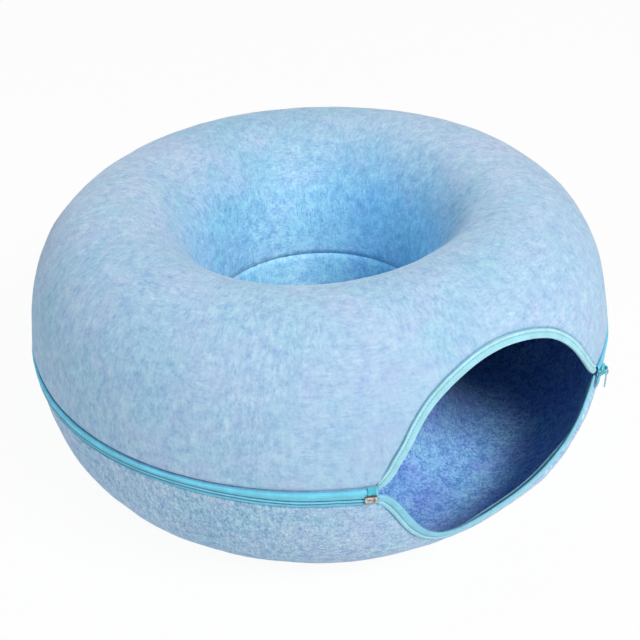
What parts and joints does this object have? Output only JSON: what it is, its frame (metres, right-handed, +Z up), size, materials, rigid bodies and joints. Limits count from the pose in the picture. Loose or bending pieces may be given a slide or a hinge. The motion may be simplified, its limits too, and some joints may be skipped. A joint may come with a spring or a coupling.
{
  "type": "donut cat tunnel",
  "caption": "Ring-shaped felt cat tunnel of an upper and a lower half zipped round the outside, with an eye-shaped bound mouth and a hole through the middle.",
  "frame": {"origin": "on the floor, at the middle of the ring's hole", "axes": "+Z up along the ring's axis; the front of the object is -Y and the mouth faces front right, between +X and -Y"},
  "size_m": [0.5054, 0.5053, 0.23],
  "materials": {
    "felt": "needled felt, mottled light blue",
    "tape": "woven zip tape",
    "binding": "folded woven edge tape",
    "thread": "sewing thread",
    "coil": "satin nylon",
    "slider": "enamelled die casting",
    "link": "plain wire",
    "stop": "moulded nylon"
  },
  "bodies": {
    "lower_half": {"lower_shell": "felt", "lower_zip_tape": "tape", "lower_zip_coil": "coil", "lower_zip_stitching": "thread", "lower_mouth_binding": "binding", "lower_mouth_stitching": "thread", "lower_tape_end": "tape", "lower_top_stop": "coil", "retainer_box": "stop"},
    "upper_half": {"upper_shell": "felt", "upper_zip_tape": "tape", "upper_zip_coil": "coil", "upper_zip_stitching": "thread", "upper_mouth_binding": "binding", "upper_mouth_stitching": "thread", "upper_tape_end": "tape", "upper_top_stop": "coil", "insertion_pin": "stop"},
    "slider": {"slider_body": "slider", "slider_bridge": "slider"},
    "link": {"pull_link": "link"},
    "pull": {"pull_tab": "slider"}
  },
  "joints": [
    {"name": "upper_half_lift", "type": "slide", "parent": "lower_half", "child": "upper_half", "axis": [0, 0, 1], "range_m": [0, 0.25]},
    {"name": "slider_travel", "type": "hinge", "parent": "lower_half", "child": "slider", "pos_m": [0, 0, 0.115], "axis": [0, 0, 1], "range_deg": [0, 300]},
    {"name": "link_swing", "type": "hinge", "parent": "slider", "child": "link", "pos_m": [0.23102, -0.11041, 0.115], "axis": [-0.4312, -0.9023, 0], "range_deg": [0, 150]},
    {"name": "pull_swing", "type": "hinge", "parent": "link", "child": "pull", "pos_m": [0.23102, -0.11041, 0.1112], "axis": [0.9023, -0.4312, 0], "range_deg": [-50, 50]}
  ]
}
